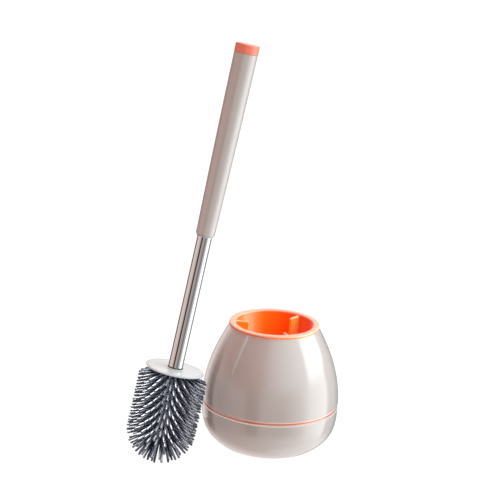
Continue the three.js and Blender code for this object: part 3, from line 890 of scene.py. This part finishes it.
def tube_seal():
    seal_top = seal_bottom + SEAL_HEIGHT
    return lathe("tube_seal_ring", [
        (tube_bore, seal_bottom), (boss_radius, seal_bottom, SEAL_LOW_FILLET),
        (boss_radius, seal_top, SEAL_TOP_FILLET), (tube_bore, seal_top),
    ], STICK_SEGMENTS, BRUSH)


disc = finish_piece(head_core(), WHITE, "white_gloss", "brush_head", "head_core")
disc.visible_glossy = False
bristles = finish_piece(bristle_sleeve(), SILICONE, "slate_silicone", "brush_head", "bristle_sleeve")
bristles.visible_glossy = False
finish_piece(tube_seal(), RUBBER, "dark_rubber", "brush_head", "tube_seal")


# ---- The handle
def steel_tube():
    return lathe("steel_tube_polished", [
        (tube_bore, tube_bottom, TUBE_BORE_FILLET), (TUBE_RADIUS, tube_bottom, TUBE_END_FILLET),
        (TUBE_RADIUS, tube_top, TUBE_END_FILLET), (tube_bore, tube_top, TUBE_BORE_FILLET),
    ], STICK_SEGMENTS, BRUSH)


def grip_collar():
    inner = TUBE_RADIUS + SEAT_FIT
    outer = inner + COLLAR_RING_WIDTH
    top = TUBE_SHOWN + COLLAR_RING_HEIGHT
    return lathe("grip_collar_ring", [
        (inner, TUBE_SHOWN), (outer, TUBE_SHOWN, COLLAR_RING_FILLET), (outer, top), (inner, top),
    ], STICK_SEGMENTS, BRUSH)


def grip():
    stop_bottom = tube_top + GAP
    stop_top = stop_bottom + GRIP_STOP_HEIGHT
    return lathe("grip_body", [
        (grip_bore, grip_bottom), (grip_end_radius, grip_bottom, EDGE),
        *bulge((grip_end_radius, grip_bottom), (GRIP_TOP_RADIUS, grip_top), GRIP_BELLY),
        (GRIP_TOP_RADIUS, grip_top, GRIP_TOP_FILLET), (grip_hollow, grip_top),
        (grip_hollow, grip_top - CAP_PLUG_LENGTH - GAP), (grip_bore, stop_top),
        (grip_bore - GRIP_STOP, stop_top), (grip_bore - GRIP_STOP, stop_bottom), (grip_bore, stop_bottom),
    ], STICK_SEGMENTS, BRUSH)


def end_cap():
    plug_outer = grip_hollow - SEAT_FIT
    plug_bottom = grip_top - CAP_PLUG_LENGTH
    top = grip_top + CAP_HEIGHT
    skirt = top - 2 * EDGE - 2 * CAP_PLUG_WALL
    crown_radii = [CAP_CROWN_STEP * k for k in range(CAP_CROWN_STEPS, 0, -1)]
    crown = [(r, top - CAP_CROWN * (r / cap_radius) ** 2) for r in crown_radii]
    return lathe("end_cap_crown", [
        (0, skirt), (plug_outer - CAP_PLUG_WALL, skirt), (plug_outer - CAP_PLUG_WALL, plug_bottom),
        (plug_outer, plug_bottom, EDGE), (plug_outer, cap_bottom), (cap_radius, cap_bottom, CAP_FOOT_FILLET),
        (cap_radius, top - CAP_CROWN, 2 * EDGE), *crown, (0, top),
    ], STICK_SEGMENTS, BRUSH)


finish_piece(steel_tube(), STEEL, "polished_steel", "handle", "steel_tube")
finish_piece(grip_collar(), WHITE, "white_gloss", "handle", "grip_collar")
finish_piece(grip(), GRIP, "ivory_gloss", "handle", "grip")
finish_piece(end_cap(), CORAL_CAP, "coral_soft", "handle", "end_cap")

plug = frame["nodes"]["tube_plug"]
plug.data.materials.clear()
plug.data.materials.append(WHITE)


# ---- The studio: a plain pale floor and walls, soft light all round, lamps and a camera, in metres
STAGE_REACH = 6.0
WALL_HEIGHT = 9.0
FLOOR_TONE = 0.14
FLOOR_GLOW = 0.92
WALL_GLOW = 1.0
STAGE_ROUGHNESS = 0.9


def staged(name, verts, faces, tone, glow):
    """A plain piece of the stage with a glow of its own, which reflections and bounced light don't meet."""
    mesh = bpy.data.meshes.new(name)
    mesh.from_pydata(verts, [], faces)
    obj = bpy.data.objects.new(name, mesh)
    bpy.context.scene.collection.objects.link(obj)
    material = bpy.data.materials.new(name + "_pale")
    shader = tree_of(material)[2]
    shader.inputs["Base Color"].default_value = (tone, tone, tone, 1)
    shader.inputs["Roughness"].default_value = STAGE_ROUGHNESS
    shader.inputs["Emission Color"].default_value = (1, 1, 1, 1)
    shader.inputs["Emission Strength"].default_value = glow
    mesh.materials.append(material)
    obj.visible_diffuse = False
    obj.visible_glossy = False
    return obj


def stage():
    """A plain pale floor, and plain pale walls far round it that only the camera sees."""
    corners = [(-STAGE_REACH, -STAGE_REACH), (STAGE_REACH, -STAGE_REACH), (STAGE_REACH, STAGE_REACH),
               (-STAGE_REACH, STAGE_REACH)]
    ground = [(x, y, 0) for x, y in corners]
    raised = [(x, y, WALL_HEIGHT) for x, y in corners]
    staged("floor", ground, [(0, 1, 2, 3)], FLOOR_TONE, FLOOR_GLOW)
    sides = [(k, (k + 1) % 4, 4 + (k + 1) % 4, 4 + k) for k in range(4)]
    staged("backdrop", ground + raised, sides, 0.0, WALL_GLOW).visible_shadow = False


# Brightness round the studio. Azimuth 0 is where the camera stands and 90 is to its right.
ABOVE_HORIZON = [
    (-180, (1.9, 1.8, 1.75)), (-150, (1.2, 1.08, 1.04)), (-138, (0.95, 0.80, 0.76)),
    (-126, (0.66, 0.52, 0.48)), (-112, (0.50, 0.34, 0.29)), (-86, (0.40, 0.13, 0.08)),
    (-30, (0.38, 0.09, 0.05)), (-16, (0.42, 0.17, 0.12)), (-6, (0.70, 0.62, 0.59)),
    (20, (1.00, 1.13, 1.16)), (66, (1.08, 1.25, 1.28)), (74, (3.6, 3.95, 4.05)),
    (116, (3.6, 3.95, 4.05)), (122, (0.60, 0.62, 0.62)), (150, (0.70, 0.70, 0.70)),
    (165, (1.2, 1.16, 1.14)), (180, (1.9, 1.8, 1.75)),
]
BELOW_HORIZON = [
    (-180, (0.34, 0.33, 0.33)), (-166, (0.70, 0.64, 0.62)), (-140, (0.62, 0.55, 0.53)),
    (-134, (0.12, 0.09, 0.08)), (-115, (0.12, 0.09, 0.08)), (-108, (0.82, 0.70, 0.66)),
    (-72, (0.88, 0.76, 0.72)), (-46, (0.66, 0.55, 0.51)), (-36, (0.05, 0.04, 0.03)),
    (-22, (0.05, 0.04, 0.03)), (-14, (0.60, 0.54, 0.52)), (8, (0.42, 0.39, 0.39)),
    (24, (0.20, 0.19, 0.20)), (38, (0.42, 0.42, 0.43)), (58, (0.90, 0.94, 0.96)),
    (72, (1.8, 1.9, 1.92)), (106, (1.8, 1.9, 1.92)), (115, (0.30, 0.30, 0.31)),
    (180, (0.34, 0.33, 0.33)),
]
OVERHEAD = (1.8, 1.68, 1.62)
UNDERFOOT = [
    (-180, (1.00, 0.92, 0.90)), (-90, (0.95, 0.80, 0.76)), (0, (1.15, 1.06, 1.03)), (90, (1.50, 1.52, 1.52)),
    (180, (1.00, 0.92, 0.90)),
]
STUDIO_STRENGTH = 7.0
HORIZON_BLEND = (0, 14)
OVERHEAD_BLEND = (54, 66)
UNDERFOOT_BLEND = (-44, -26)


def scaled(colour):
    return tuple(c / STUDIO_STRENGTH for c in colour)


def studio_ramp(nodes, links, share, table):
    stops = [((degrees + 180) / 360, scaled(colour)) for degrees, colour in table]
    return ramped(nodes, links, share, stops)


def blended(nodes, links, height, low, high, elevations):
    """low below the first elevation and high above the second."""
    start, end = (math.sin(math.radians(degrees)) for degrees in elevations)
    return mixed(nodes, links, ranged(nodes, links, height, start, end, smooth=True), low, high)


def studio_world():
    world = bpy.data.worlds.new("studio")
    bpy.context.scene.world = world
    world.use_nodes = True
    nodes, links = world.node_tree.nodes, world.node_tree.links
    background = nodes["Background"]
    place = nodes.new("ShaderNodeTexCoord")
    parts = nodes.new("ShaderNodeSeparateXYZ")
    links.new(place.outputs["Generated"], parts.inputs["Vector"])
    height = parts.outputs["Z"]
    toward = math_node(nodes, links, "MULTIPLY", parts.outputs["Y"], -1)
    azimuth = math_node(nodes, links, "ARCTAN2", parts.outputs["X"], toward)
    share = ranged(nodes, links, azimuth, -math.pi, math.pi)
    above = studio_ramp(nodes, links, share, ABOVE_HORIZON)
    below = studio_ramp(nodes, links, share, BELOW_HORIZON)
    under = studio_ramp(nodes, links, share, UNDERFOOT)
    colour = blended(nodes, links, height, below, above, HORIZON_BLEND)
    colour = blended(nodes, links, height, colour, scaled(OVERHEAD), OVERHEAD_BLEND)
    colour = blended(nodes, links, height, under, colour, UNDERFOOT_BLEND)
    links.new(colour, background.inputs["Color"])
    background.inputs["Strength"].default_value = STUDIO_STRENGTH


def area_light(name, place, aim, size, power, glossy=False, only=(), shadow=True):
    """A soft lamp. It lights only the pieces in only, where that is given."""
    data = bpy.data.lights.new(name, "AREA")
    data.shape = "RECTANGLE"
    data.size, data.size_y = size
    data.energy = power
    data.use_shadow = shadow
    light = bpy.data.objects.new(name, data)
    light.location = place
    light.rotation_euler = (Vector(aim) - Vector(place)).to_track_quat("-Z", "Y").to_euler()
    light.visible_camera = False
    light.visible_glossy = glossy
    bpy.context.scene.collection.objects.link(light)
    if only:
        receivers = bpy.data.collections.new(name + "_receivers")
        for obj in only:
            receivers.objects.link(obj)
        light.light_linking.receiver_collection = receivers


CAMERA_PLACE = (-0.025812, -1.411397, 0.583075)
CAMERA_TILT = math.radians(90 - 15.863)
CAMERA_ROLL = math.radians(3.148)
CAMERA_LENS = 118.0
SENSOR_WIDTH = 36


def studio_camera():
    data = bpy.data.cameras.new("camera")
    data.lens = CAMERA_LENS
    data.sensor_width = SENSOR_WIDTH
    data.clip_start, data.clip_end = 0.05, 30
    camera = bpy.data.objects.new("camera", data)
    bpy.context.scene.collection.objects.link(camera)
    look = Euler((CAMERA_TILT, 0, 0)).to_matrix() @ Euler((0, 0, CAMERA_ROLL)).to_matrix()
    camera.matrix_world = Matrix.Translation(CAMERA_PLACE) @ look.to_4x4()
    bpy.context.scene.camera = camera


HEAD_DEPTH = 0.04  # of the lamps' aim, below the disc

stage()
studio_world()
head = BRUSH @ Vector((0, 0, -HEAD_DEPTH))
area_light("key_right", (1.1, -0.9, 1.0), (0, 0, 0.1), (0.7, 1.0), 2.5)
area_light("bristle_front", head + Vector((-0.42, -0.55, 0.66)), head, (0.7, 0.7), 34, glossy=True,
           only=[bristles])
area_light("bristle_back", head + Vector((-0.08, 0.55, 0.70)), head, (0.7, 0.5), 44, glossy=True,
           only=[bristles], shadow=False)
area_light("bristle_right", head + Vector((0.95, -0.15, 0.25)), head, (0.5, 0.7), 34, glossy=True,
           only=[bristles])
area_light("disc_edge", head + Vector((-0.8, -0.7, 0.1)), head, (0.5, 0.5), 5, only=[disc], shadow=False)
area_light("rim_left", (-0.60, 0.68, 0.02), (-0.05, 0, 0.06), (0.45, 0.8), 0.5, glossy=True,
           only=[shell, bowl], shadow=False)
area_light("mouth_glow", (0.82, -0.11, -0.14), (-0.02, 0, 0.1), (0.7, 0.5), 16, glossy=True, only=[cup],
           shadow=False)
studio_camera()
bpy.context.scene.view_settings.view_transform = "Standard"
